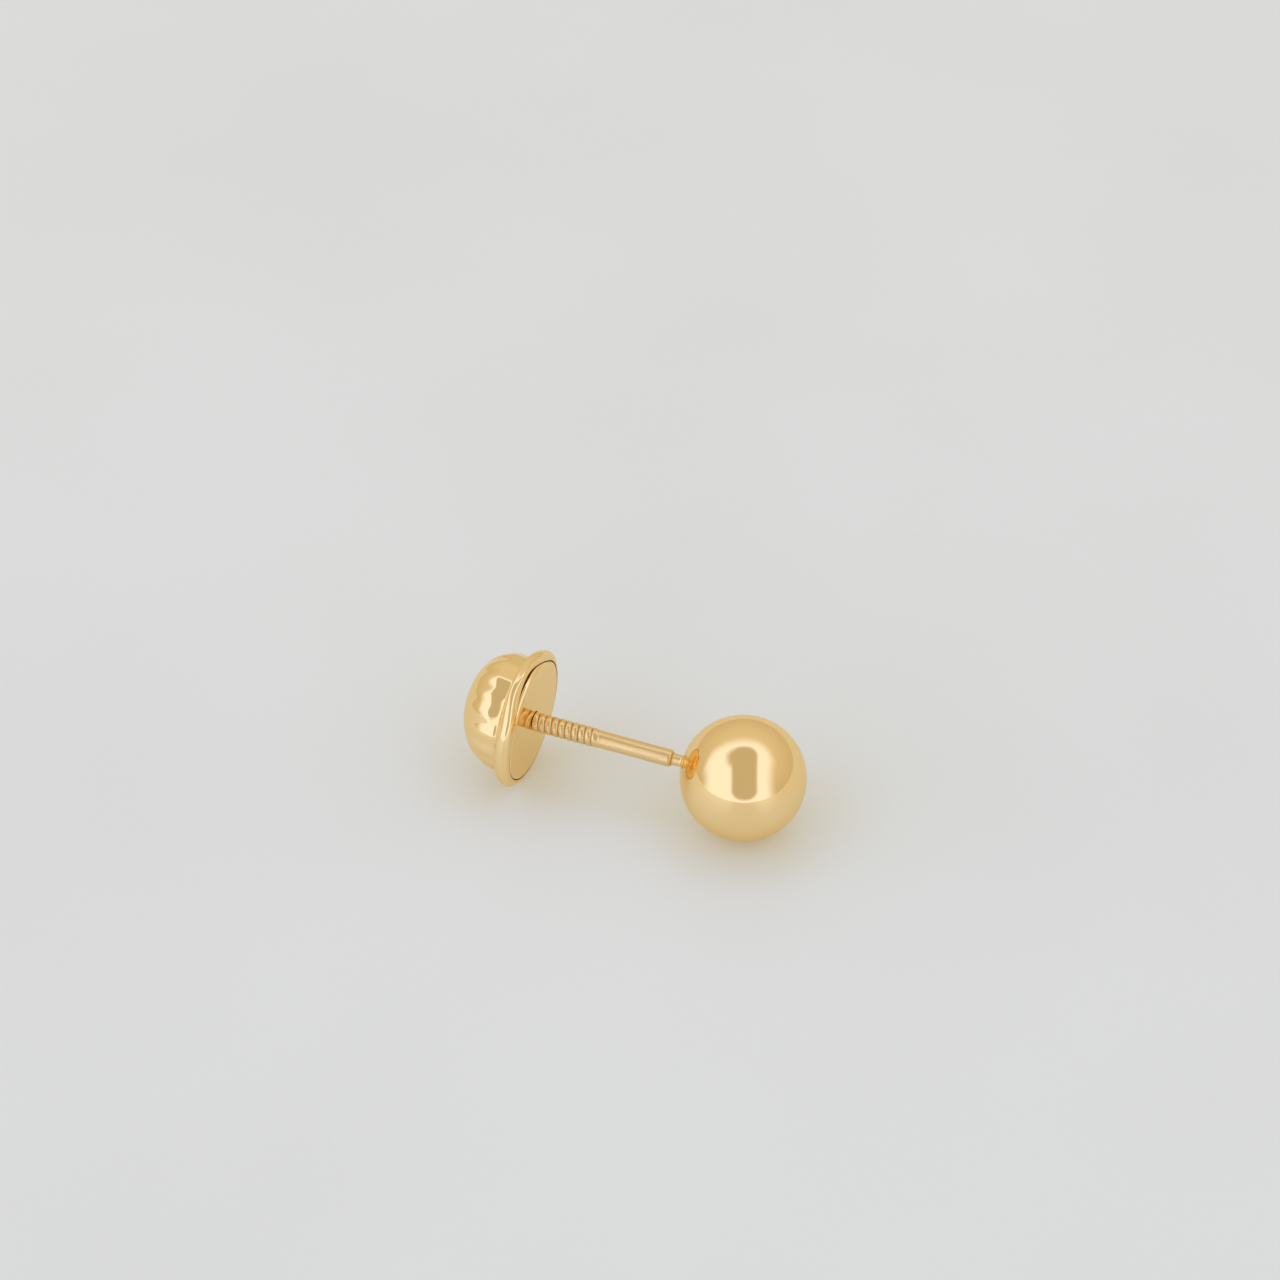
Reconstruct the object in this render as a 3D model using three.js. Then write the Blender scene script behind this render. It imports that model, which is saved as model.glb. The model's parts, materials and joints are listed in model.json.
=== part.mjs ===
// Ball stud earring with a screw back, lying on a flat surface.
// Millimetres, +Z up. The post runs along +X from the back to the ball, and dips a little towards
// the ball, because the rim of the back is wider than the ball and both rest on the surface.
// Lengths along the post are counted from the face of the back's plate, towards the ball.

import * as THREE from "three";
import { mergeVertices } from "three/addons/utils/BufferGeometryUtils.js";

// Ball and post, soldered together.
const BALL_DIAMETER = 5.0;
const NECK_DIAMETER = 0.46;
const NECK_LENGTH = 0.43;
const SOLDER_FILLET = 0.1;
const SHAFT_DIAMETER = 0.69;
const SHAFT_LENGTH = 2.93;
const SHOULDER_ROUND = 0.1;
const THREAD_CREST_DIAMETER = 0.78;
const THREAD_ROOT_DIAMETER = 0.62;
const THREAD_PITCH = 0.28;
const THREAD_LENGTH = 4.12;
const TIP_DIAMETER = 0.5;
const TIP_CHAMFER = 0.12;

// How far the post reaches into the back, behind the plate's face, as it is screwed on here.
const POST_INSIDE_BACK = 1.2;

// Domed cap of the back, with soft flats pressed round its dome and a rolled rim.
const DOME_DIAMETER = 4.86;
const DOME_DEPTH = 1.8;
const DOME_FULLNESS = 2.45;
const CAP_WALL = 0.2;
const FLAT_COUNT = 18;
const FLARE_LENGTH = 0.7;
const RIM_DIAMETER = 5.62;
const LIP_ROUND = 0.2;
const LIP_SETBACK = 0.02;
const RIM_OPENING_DIAMETER = 4.96;

// Plate that closes the cap, and the threaded bush behind it.
const PLATE_THICKNESS = 0.32;
const PLATE_EDGE_ROUND = 0.17;
const BUSH_LENGTH = 0.8;
const BUSH_WALL = 0.34;

// Clearances.
const THREAD_CLEARANCE = 0.03;
const SEAM_GAP = 0.04;

// How finely the round forms are faceted.
const STUD_SIDES = 48;
const SIDES_PER_FLAT = 4;
const PLATE_SIDES = 48;
const BUSH_SIDES = 24;
const BALL_ROWS = 14;
const DOME_ROWS = 9;
const FLARE_ROWS = 8;
const LIP_ROWS = 5;
const ROUND_ROWS = 3;
const ROWS_PER_PITCH = 4;

const GOLD = { color: 0xe2b878, roughness: 0.12, metalness: 1.0 };
const SATIN_GOLD = { color: 0xdcb070, roughness: 0.22, metalness: 1.0 };

// Places along the post.
const postTip = -POST_INSIDE_BACK;
const threadEnd = postTip + THREAD_LENGTH;
const shoulder = threadEnd + SHAFT_LENGTH;
const ballStart = shoulder + NECK_LENGTH;
const ballRadius = BALL_DIAMETER / 2;
const neckRadius = NECK_DIAMETER / 2;
const ballCentre = ballStart + Math.sqrt(ballRadius ** 2 - neckRadius ** 2);

// One point of a turned profile: a place along the post, a radius, and how much of the
// piece's relief (its thread or its flats) the point takes, from 0 to 1.
function point(along, radius, relief = 0) {
  return { along, radius, relief };
}

// Points on a quarter or other arc, as an ellipse about a centre. The angle is counted from
// the outward direction towards +X.
function arc(centreAlong, centreRadius, alongSize, radiusSize, from, to, rows) {
  const points = [];
  for (let row = 0; row <= rows; row += 1) {
    const angle = from + ((to - from) * row) / rows;
    points.push(point(centreAlong + alongSize * Math.sin(angle), centreRadius + radiusSize * Math.cos(angle)));
  }
  return points;
}

// Joins vertices that lie in one place and drops the triangles that this makes flat, at the poles.
function joined(geometry) {
  geometry.deleteAttribute("normal");
  geometry.deleteAttribute("uv");
  const merged = mergeVertices(geometry, 1e-4);
  const corners = merged.getIndex().array;
  const kept = [];
  for (let i = 0; i < corners.length; i += 3) {
    const [a, b, c] = [corners[i], corners[i + 1], corners[i + 2]];
    if (a !== b && b !== c && c !== a) {
      kept.push(a, b, c);
    }
  }
  merged.setIndex(kept);
  merged.computeVertexNormals();
  return merged;
}

// A profile turned about the post's axis, with a flat side down. The outside of the profile runs
// towards +X. reliefAt gives the change of radius at a place along and an angle about +X.
function turned(profile, sides, reliefAt = () => 0) {
  const outline = profile.map((p) => new THREE.Vector2(p.radius, p.along));
  const geometry = new THREE.LatheGeometry(outline, sides, Math.PI / sides, 2 * Math.PI);
  geometry.rotateZ(-Math.PI / 2);
  const position = geometry.getAttribute("position");
  for (let i = 0; i < position.count; i += 1) {
    const { along, radius, relief } = profile[i % profile.length];
    if (relief > 0 && radius > 0) {
      const angle = Math.atan2(position.getZ(i), position.getY(i));
      const scale = 1 + (relief * reliefAt(along, angle)) / radius;
      position.setY(i, position.getY(i) * scale);
      position.setZ(i, position.getZ(i) * scale);
    }
  }
  return joined(geometry);
}

// Right-handed thread: the crest moves one pitch towards +X in a turn about +X. The profile
// is drawn at the crest, and the wave goes down to the root and back once in each pitch.
function threadRelief(along, angle) {
  const turn = along / THREAD_PITCH - angle / (2 * Math.PI);
  const wave = Math.abs(2 * (turn - Math.floor(turn)) - 1);
  return (wave - 1) * (THREAD_CREST_DIAMETER - THREAD_ROOT_DIAMETER) / 2;
}

// Flats: the dome's circle is pressed in to a polygon, whose corners stay on the circle and fall
// on corners of the facets.
function flatRelief(along, angle) {
  const step = (2 * Math.PI) / FLAT_COUNT;
  const turns = angle / step - 0.5 / SIDES_PER_FLAT;
  const fromMiddle = (turns - Math.floor(turns) - 0.5) * step;
  return (DOME_DIAMETER / 2) * (Math.cos(step / 2) / Math.cos(fromMiddle) - 1);
}

// Ball, neck, plain shaft and threaded shaft, as one soldered solid.
function studGeometry() {
  const crest = THREAD_CREST_DIAMETER / 2;
  const shaft = SHAFT_DIAMETER / 2;
  const threadStart = postTip + TIP_CHAMFER;
  const threadRun = THREAD_LENGTH - TIP_CHAMFER;
  const threadRows = Math.round((threadRun / THREAD_PITCH) * ROWS_PER_PITCH);
  const profile = [point(postTip, 0), point(postTip, TIP_DIAMETER / 2)];
  for (let row = 0; row < threadRows; row += 1) {
    profile.push(point(threadStart + (threadRun * row) / threadRows, crest, 1));
  }
  profile.push(point(threadEnd, shaft));
  profile.push(...arc(shoulder - SHOULDER_ROUND, shaft - SHOULDER_ROUND, SHOULDER_ROUND,
    SHOULDER_ROUND, 0, Math.PI / 2, ROUND_ROWS));
  profile.push(...arc(shoulder + SOLDER_FILLET, neckRadius + SOLDER_FILLET, -SOLDER_FILLET,
    -SOLDER_FILLET, Math.PI / 2, 0, ROUND_ROWS).slice(1));
  const filletStart = Math.asin((neckRadius + SOLDER_FILLET) / ballRadius);
  profile.push(point(ballStart - SOLDER_FILLET, neckRadius));
  for (let row = 0; row < BALL_ROWS; row += 1) {
    const angle = filletStart + ((Math.PI - filletStart) * row) / BALL_ROWS;
    profile.push(point(ballCentre - ballRadius * Math.cos(angle), ballRadius * Math.sin(angle)));
  }
  profile.push(point(ballCentre + ballRadius, 0));
  return turned(profile, STUD_SIDES, threadRelief);
}

// Half of a dome from its pole to its base, as a superellipse of the given depth and radius.
function domeRows(base, depth, radius, rows, flattened) {
  const points = [];
  const power = 2 / DOME_FULLNESS;
  for (let row = 0; row < rows; row += 1) {
    const angle = ((Math.PI / 2) * row) / rows;
    const along = base - depth * Math.cos(angle) ** power;
    const across = radius * Math.sin(angle) ** power;
    points.push(point(along, across, flattened ? Math.sin(2 * angle) : 0));
  }
  points.push(point(base, radius));
  return points;
}

// Pressed cap: dome, hollow flare up to the rim, rolled lip, and the rebate inside the lip that
// the plate lies in. The flare is half a cosine wave from the dome's radius to the rim's.
function capGeometry() {
  const domeRadius = DOME_DIAMETER / 2;
  const rimRadius = RIM_DIAMETER / 2;
  const openingRadius = RIM_OPENING_DIAMETER / 2;
  const rimCrest = -LIP_SETBACK - LIP_ROUND;
  const domeBase = rimCrest - FLARE_LENGTH;
  const ledge = -PLATE_THICKNESS - SEAM_GAP;
  const outside = domeRows(domeBase, DOME_DEPTH, domeRadius, DOME_ROWS, true);
  const flare = [];
  for (let row = 1; row < FLARE_ROWS; row += 1) {
    const share = row / FLARE_ROWS;
    const rise = (1 - Math.cos(Math.PI * share)) / 2;
    flare.push(point(domeBase + FLARE_LENGTH * share, domeRadius + (rimRadius - domeRadius) * rise));
  }
  const lip = arc(rimCrest, openingRadius, LIP_ROUND, rimRadius - openingRadius, 0, Math.PI / 2, LIP_ROWS);
  const inside = domeRows(domeBase, DOME_DEPTH - CAP_WALL, domeRadius - CAP_WALL, DOME_ROWS, false);
  const rebate = [point(ledge, openingRadius), point(ledge, domeRadius - CAP_WALL)];
  return turned([...outside, ...flare, ...lip, ...rebate, ...inside.reverse()],
    FLAT_COUNT * SIDES_PER_FLAT, flatRelief);
}

// Flat plate with a rounded front edge and a hole that the post's thread passes through.
function plateGeometry() {
  const hole = THREAD_CREST_DIAMETER / 2 + THREAD_CLEARANCE;
  const edge = RIM_OPENING_DIAMETER / 2 - SEAM_GAP;
  const profile = [
    point(-PLATE_THICKNESS, hole),
    point(-PLATE_THICKNESS, edge),
    ...arc(-PLATE_EDGE_ROUND, edge - PLATE_EDGE_ROUND, PLATE_EDGE_ROUND, PLATE_EDGE_ROUND, 0,
      Math.PI / 2, ROUND_ROWS),
    point(0, hole),
    point(-PLATE_THICKNESS, hole),
  ];
  return turned(profile, PLATE_SIDES);
}

// Plain bush behind the plate, which holds the back on the post's thread.
function bushGeometry() {
  const hole = THREAD_CREST_DIAMETER / 2 + THREAD_CLEARANCE;
  const front = -PLATE_THICKNESS - SEAM_GAP;
  const outer = hole + BUSH_WALL;
  const profile = [
    point(front - BUSH_LENGTH, hole),
    point(front - BUSH_LENGTH, outer),
    point(front, outer),
    point(front, hole),
    point(front - BUSH_LENGTH, hole),
  ];
  return turned(profile, BUSH_SIDES);
}

// The lowest height of a piece when the post dips by the given angle.
function lowest(geometry, dip) {
  const position = geometry.getAttribute("position");
  let low = Infinity;
  for (let i = 0; i < position.count; i += 1) {
    low = Math.min(low, position.getZ(i) * Math.cos(dip) - position.getX(i) * Math.sin(dip));
  }
  return low;
}

// The dip at which the ball and the rim of the back touch the surface together, by halving.
function restingDip(stud, cap) {
  let low = -Math.PI / 4;
  let high = Math.PI / 4;
  for (let step = 0; step < 40; step += 1) {
    const dip = (low + high) / 2;
    if (lowest(stud, dip) > lowest(cap, dip)) {
      low = dip;
    } else {
      high = dip;
    }
  }
  return (low + high) / 2;
}

function piece(name, geometry, finish) {
  const mesh = new THREE.Mesh(geometry, new THREE.MeshStandardMaterial(finish));
  mesh.name = name;
  return mesh;
}

const stud = piece("ball_post", studGeometry(), GOLD);
const back = new THREE.Group();
back.add(piece("back_cap", capGeometry(), GOLD));
back.add(piece("back_plate", plateGeometry(), GOLD));
back.add(piece("back_bush", bushGeometry(), SATIN_GOLD));

// The earring stands with the middle of its box over the origin, and its lowest edges on the surface.
const earring = new THREE.Group();
earring.add(stud, back);
earring.rotation.y = restingDip(stud.geometry, back.children[0].geometry);
earring.updateMatrixWorld(true);
const box = new THREE.Box3().setFromObject(earring, true);
earring.position.set(-(box.min.x + box.max.x) / 2, -(box.min.y + box.max.y) / 2, -box.min.z);

export default earring;
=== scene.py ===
"""Looks of a polished gold ball stud earring with a screw back, lying on a pale surface.

Lengths in the classes below are in millimetres, and are turned into metres as meshes are made.
Every turned form is drawn in the post's own frame: a place along the post, counted from the face
of the back's plate towards the ball, a radius, and an angle about the post from +Y towards +Z.
"""

from __future__ import annotations

import json
import logging
import math
from dataclasses import dataclass, field
from enum import Enum

import bmesh
import bpy
import numpy as np
from mathutils import Matrix, Vector


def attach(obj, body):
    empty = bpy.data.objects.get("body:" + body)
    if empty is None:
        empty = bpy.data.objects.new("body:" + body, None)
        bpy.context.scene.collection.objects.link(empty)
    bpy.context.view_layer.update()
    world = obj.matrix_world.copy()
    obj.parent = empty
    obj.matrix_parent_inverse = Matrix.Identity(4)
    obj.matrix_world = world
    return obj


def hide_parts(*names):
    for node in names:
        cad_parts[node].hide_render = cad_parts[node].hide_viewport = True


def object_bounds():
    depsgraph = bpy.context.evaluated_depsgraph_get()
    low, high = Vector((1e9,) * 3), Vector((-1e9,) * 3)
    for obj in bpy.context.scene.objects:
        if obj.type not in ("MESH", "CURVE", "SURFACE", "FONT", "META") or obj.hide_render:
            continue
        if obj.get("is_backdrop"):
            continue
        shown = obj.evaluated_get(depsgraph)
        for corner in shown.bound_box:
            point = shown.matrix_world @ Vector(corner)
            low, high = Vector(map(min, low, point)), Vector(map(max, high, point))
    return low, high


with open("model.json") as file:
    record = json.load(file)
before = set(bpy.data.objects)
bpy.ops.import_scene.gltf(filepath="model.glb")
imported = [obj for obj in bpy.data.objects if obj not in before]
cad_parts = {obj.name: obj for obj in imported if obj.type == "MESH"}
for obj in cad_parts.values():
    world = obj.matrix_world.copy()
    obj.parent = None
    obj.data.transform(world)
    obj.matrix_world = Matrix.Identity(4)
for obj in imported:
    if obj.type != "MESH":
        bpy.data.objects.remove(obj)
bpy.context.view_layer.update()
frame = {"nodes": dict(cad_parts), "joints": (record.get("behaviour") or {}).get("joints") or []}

MM = 0.001
TURN = 2.0 * math.pi

Array = np.ndarray
Color = tuple[float, float, float]
Socket = bpy.types.NodeSocket

log = logging.getLogger("earring")


class Body(str, Enum):
    """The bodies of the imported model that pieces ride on."""

    STUD = "stud"
    BACK = "back"


class Slot(str, Enum):
    """The record's material slot for polished gold, which nothing here gives to the new pieces.
    """

    POLISHED = "polished_gold"


def smoothstep(low: float, high: float, value: Array) -> Array:
    """A smooth rise, 3t^2 - 2t^3, with t the share of the way from low to high, held to 0..1."""
    share = np.clip((value - low) / (high - low), 0.0, 1.0)
    return share * share * (3.0 - 2.0 * share)


@dataclass(frozen=True)
class PostFrame:
    """The frame of the post as it lies: its zero point and its three directions.

    Attributes:
        origin: the point on the post's axis in the face of the plate, in metres.
        axis: the direction of the post, from the back to the ball.
    """

    origin: tuple[float, float, float]
    axis: tuple[float, float, float]

    @classmethod
    def from_joints(cls, joints: list[dict], name: str) -> "PostFrame":
        """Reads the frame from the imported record's hinge that the back turns on."""
        hinge = next(joint for joint in joints if joint["name"] == name)
        return cls(tuple(hinge["pos_m"]), tuple(hinge["axis"]))

    def leaned(self, degrees: float, about: Vector) -> "PostFrame":
        """The frame of a piece that leans on the post, turned right-handed about a direction."""
        turn = Matrix.Rotation(math.radians(degrees), 3, about)
        return PostFrame(self.origin, tuple(turn @ Vector(self.axis)))

    def lifted(self, height: float) -> "PostFrame":
        """The frame of a piece that sits higher on the post, by a height in millimetres."""
        x, y, z = self.origin
        return PostFrame((x, y, z + MM * height), self.axis)

    def place(self, along: Array, radius: Array, angle: Array) -> Array:
        """Turns post coordinates into points of the scene.

        The point is origin + along * axis + radius * (cos(angle) * side + sin(angle) * up),
        with side as near +Y as it can be, and up = axis x side.

        Args:
            along: places along the post, in millimetres.
            radius: radii, in millimetres.
            angle: angles about the post, in radians.

        Returns:
            Points in metres, with one more dimension than the inputs.
        """
        axis = np.array(self.axis)
        axis = axis / np.linalg.norm(axis)
        side = np.array([0.0, 1.0, 0.0]) - axis[1] * axis
        side = side / np.linalg.norm(side)
        up = np.cross(axis, side)
        along, radius, angle = np.broadcast_arrays(along, radius, angle)
        spread = np.cos(angle)[..., None] * side + np.sin(angle)[..., None] * up
        return np.array(self.origin) + MM * (along[..., None] * axis + radius[..., None] * spread)


@dataclass
class TurnedSkin:
    """A grid of points over (row along the profile, column about the post), and its mesh.

    Attributes:
        along: places along the post, rows by columns.
        radius: radii, rows by columns.
        recess: how much painted shade each point takes in crevices, from 0 to 1.
        sides: the number of columns.
    """

    along: Array
    radius: Array
    recess: Array
    sides: int

    @classmethod
    def over(cls, profile: Array, sides: int) -> "TurnedSkin":
        """A plain turned grid.

        Args:
            profile: rows of (along, radius), with the outside running towards the ball.
            sides: the number of columns.

        Returns:
            A grid with the same profile in every column.
        """
        along = np.repeat(profile[:, :1], sides, axis=1)
        radius = np.repeat(profile[:, 1:2], sides, axis=1)
        return cls(along, radius, np.zeros_like(along), sides)

    @property
    def angle(self) -> Array:
        """Angles about the post, one for each column."""
        return (np.arange(self.sides) + 0.5) * (TURN / self.sides)

    def faces(self) -> Array:
        """Corner numbers of the quads between neighbouring rows and columns.

        Returns:
            An array of quads, each wound so that its normal points out of the profile.
        """
        rows = self.along.shape[0]
        row, column = np.meshgrid(np.arange(rows - 1), np.arange(self.sides), indexing="ij")
        after = (column + 1) % self.sides
        start, end = row * self.sides, (row + 1) * self.sides
        quads = [start + column, start + after, end + after, end + column]
        return np.stack(quads, -1).reshape(-1, 4)

    def to_object(self, name: str, post: PostFrame) -> bpy.types.Object:
        """Makes the mesh object, with poles welded and smooth shading.

        Args:
            name: the piece's name.
            post: the frame that the grid is drawn in.

        Returns:
            The object, at the origin, with its place in its mesh.
        """
        points = post.place(self.along, self.radius, self.angle[None, :]).reshape(-1, 3)
        mesh = bpy.data.meshes.new(name)
        mesh.from_pydata(points.tolist(), [], self.faces().tolist())
        # The recess attribute carries the painted shade of crevices to the material.
        recess = mesh.attributes.new("recess", "FLOAT", "POINT")
        recess.data.foreach_set("value", self.recess.reshape(-1).astype(np.float32))
        weld_points(mesh)
        mesh.polygons.foreach_set("use_smooth", np.ones(len(mesh.polygons), dtype=bool))
        mesh.update()
        made = bpy.data.objects.new(name, mesh)
        bpy.context.scene.collection.objects.link(made)
        log.info("%s: %d faces", name, len(mesh.polygons))
        return made


def weld_points(mesh: bpy.types.Mesh, distance: float = 1e-8) -> None:
    """Joins points that lie in one place, which closes poles and seams.

    Args:
        mesh: the mesh to change.
        distance: how near two points are joined, in metres.
    """
    work = bmesh.new()
    work.from_mesh(mesh)
    bmesh.ops.remove_doubles(work, verts=work.verts, dist=distance)
    bmesh.ops.dissolve_degenerate(work, edges=work.edges, dist=distance)
    work.to_mesh(mesh)
    work.free()


def straight(start: tuple[float, float], end: tuple[float, float], rows: int) -> Array:
    """A straight run of a profile, as rows of (along, radius), without its last point."""
    share = np.arange(rows)[:, None] / rows
    return (1.0 - share) * np.array(start) + share * np.array(end)


def arc(
    centre: tuple[float, float], size: tuple[float, float], turn: tuple[float, float], rows: int
) -> Array:
    """An elliptic arc, centre + (size[0] sin t, size[1] cos t), t in degrees, less its end."""
    t = np.radians(turn[0] + (turn[1] - turn[0]) * np.arange(rows) / rows)
    return np.stack([centre[0] + size[0] * np.sin(t), centre[1] + size[1] * np.cos(t)], -1)


@dataclass
class Stud:
    """The ball and its post: sizes, and the makers of the two pieces.

    Attributes:
        fillet: the reach of the solder round the neck, on the neck and on the ball.
        thread_fullness: the power that makes crests full, below 1, or narrow, above it.
        thread_lead: where the thread starts past the tip, and is full past the chamfer.
        run_out: the length over which the thread fades into the shaft.
        thread_shade: how much painted shade the thread's valleys take, from 0 to 1.
        solder_shade: the same for the fillet, fading over shade_reach on the ball.
        neck_shade: the same for the neck, over neck_shade_length before the ball.
    """

    ball_radius: float = 2.5
    neck_radius: float = 0.23
    neck_length: float = 0.43
    fillet: float = 0.1
    shaft_radius: float = 0.345
    shaft_length: float = 2.93
    shoulder_round: float = 0.15
    crest_radius: float = 0.39
    root_radius: float = 0.32
    pitch: float = 0.28
    thread_length: float = 4.12
    thread_fullness: float = 0.22
    thread_lead: tuple[float, float] = (0.02, 0.1)
    run_out: float = 0.45
    thread_shade: float = 0.8
    solder_shade: float = 0.45
    shade_reach: float = 0.05
    neck_shade: float = 0.22
    neck_shade_length: float = 0.2
    tip: float = -1.2
    tip_radius: float = 0.25
    tip_chamfer: float = 0.12
    ball_sides: int = 160
    ball_rows: int = 110
    post_sides: int = 72
    rows_per_pitch: int = 18

    @property
    def thread_end(self) -> float:
        """Where the thread ends and the plain shaft begins."""
        return self.tip + self.thread_length

    @property
    def shoulder(self) -> float:
        """The face where the shaft steps down to the neck."""
        return self.thread_end + self.shaft_length

    @property
    def ball_start(self) -> float:
        """Where the neck meets the ball."""
        return self.shoulder + self.neck_length

    @property
    def ball_centre(self) -> float:
        """The ball's centre."""
        return self.ball_start + math.sqrt(self.ball_radius**2 - self.neck_radius**2)

    def ball(self, post: PostFrame) -> bpy.types.Object:
        """Makes the ball with the solder fillet round its neck.

        The ball is (centre - R cos(t), R sin(t)), with t from the fillet's rim to the far pole.

        Args:
            post: the frame of the post.

        Returns:
            The piece.
        """
        rim = math.asin((self.neck_radius + self.fillet) / self.ball_radius)
        meet = self.ball_centre - self.ball_radius * math.cos(rim)
        start = self.ball_start - self.fillet
        size = (meet - start, -self.fillet)
        fillet = arc((start, self.neck_radius + self.fillet), size, (0, 90), 10)
        t = np.linspace(rim, math.pi, self.ball_rows)
        sphere = np.stack(
            [self.ball_centre - self.ball_radius * np.cos(t), self.ball_radius * np.sin(t)], -1
        )
        skin = TurnedSkin.over(np.concatenate([fillet, sphere]), self.ball_sides)
        # The fillet takes painted shade, which fades out on the ball.
        near = smoothstep(start, start + 0.5 * self.fillet, skin.along)
        beyond = smoothstep(start, meet + self.shade_reach, skin.along)
        skin.recess = self.solder_shade * near * (1.0 - beyond)
        return skin.to_object("ball", post)

    def thread_height(self, along: Array, angle: Array) -> Array:
        """The right-handed thread's height, (1/2 + 1/2 cos(turn * phase))^fullness, of 0 to 1."""
        phase = along / self.pitch - angle / TURN
        return (0.5 + 0.5 * np.cos(TURN * phase)) ** self.thread_fullness

    def post(self, post: PostFrame) -> bpy.types.Object:
        """Makes the threaded tip, plain shaft, rounded shoulder and neck.

        Args:
            post: the frame of the post.

        Returns:
            The piece.
        """
        chamfer_end = self.tip + self.tip_chamfer
        threads = round((self.thread_end - chamfer_end) / self.pitch * self.rows_per_pitch)
        round_start = self.shoulder - self.shoulder_round
        hollow = 0.5 * self.fillet
        shaft, neck, rounded = self.shaft_radius, self.neck_radius, self.shoulder_round
        profile = np.concatenate([
            straight((self.tip, 0.0), (self.tip, self.tip_radius), 3),
            straight((self.tip, self.tip_radius), (chamfer_end, shaft), 5),
            straight((chamfer_end, shaft), (self.thread_end, shaft), threads),
            straight((self.thread_end, shaft), (round_start, shaft), 40),
            arc((round_start, shaft - rounded), (rounded, rounded), (0, 90), 12),
            straight((self.shoulder, shaft - rounded), (self.shoulder, neck + hollow), 2)[1:],
            arc((self.shoulder + hollow, neck + hollow), (-hollow, -hollow), (90, 0), 6),
            straight((self.shoulder + hollow, neck), (self.ball_start + self.fillet, neck), 9),
        ])
        skin = TurnedSkin.over(profile, self.post_sides)
        height = self.thread_height(skin.along, skin.angle[None, :])
        lead_start, lead_end = self.tip + self.thread_lead[0], chamfer_end + self.thread_lead[1]
        fading = smoothstep(self.thread_end - self.run_out, self.thread_end, skin.along)
        threaded = smoothstep(lead_start, lead_end, skin.along) * (1.0 - fading)
        wanted = self.root_radius + (self.crest_radius - self.root_radius) * height
        skin.radius = skin.radius + threaded * (wanted - shaft)
        # The thread's valleys and the neck before the ball take painted shade.
        neck_shade_start = self.ball_start - self.neck_shade_length
        near_ball = smoothstep(neck_shade_start, self.ball_start, skin.along)
        valleys = self.thread_shade * threaded * (1.0 - height)
        skin.recess = np.maximum(valleys, self.neck_shade * near_ball)
        return skin.to_object("post", post)


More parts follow.
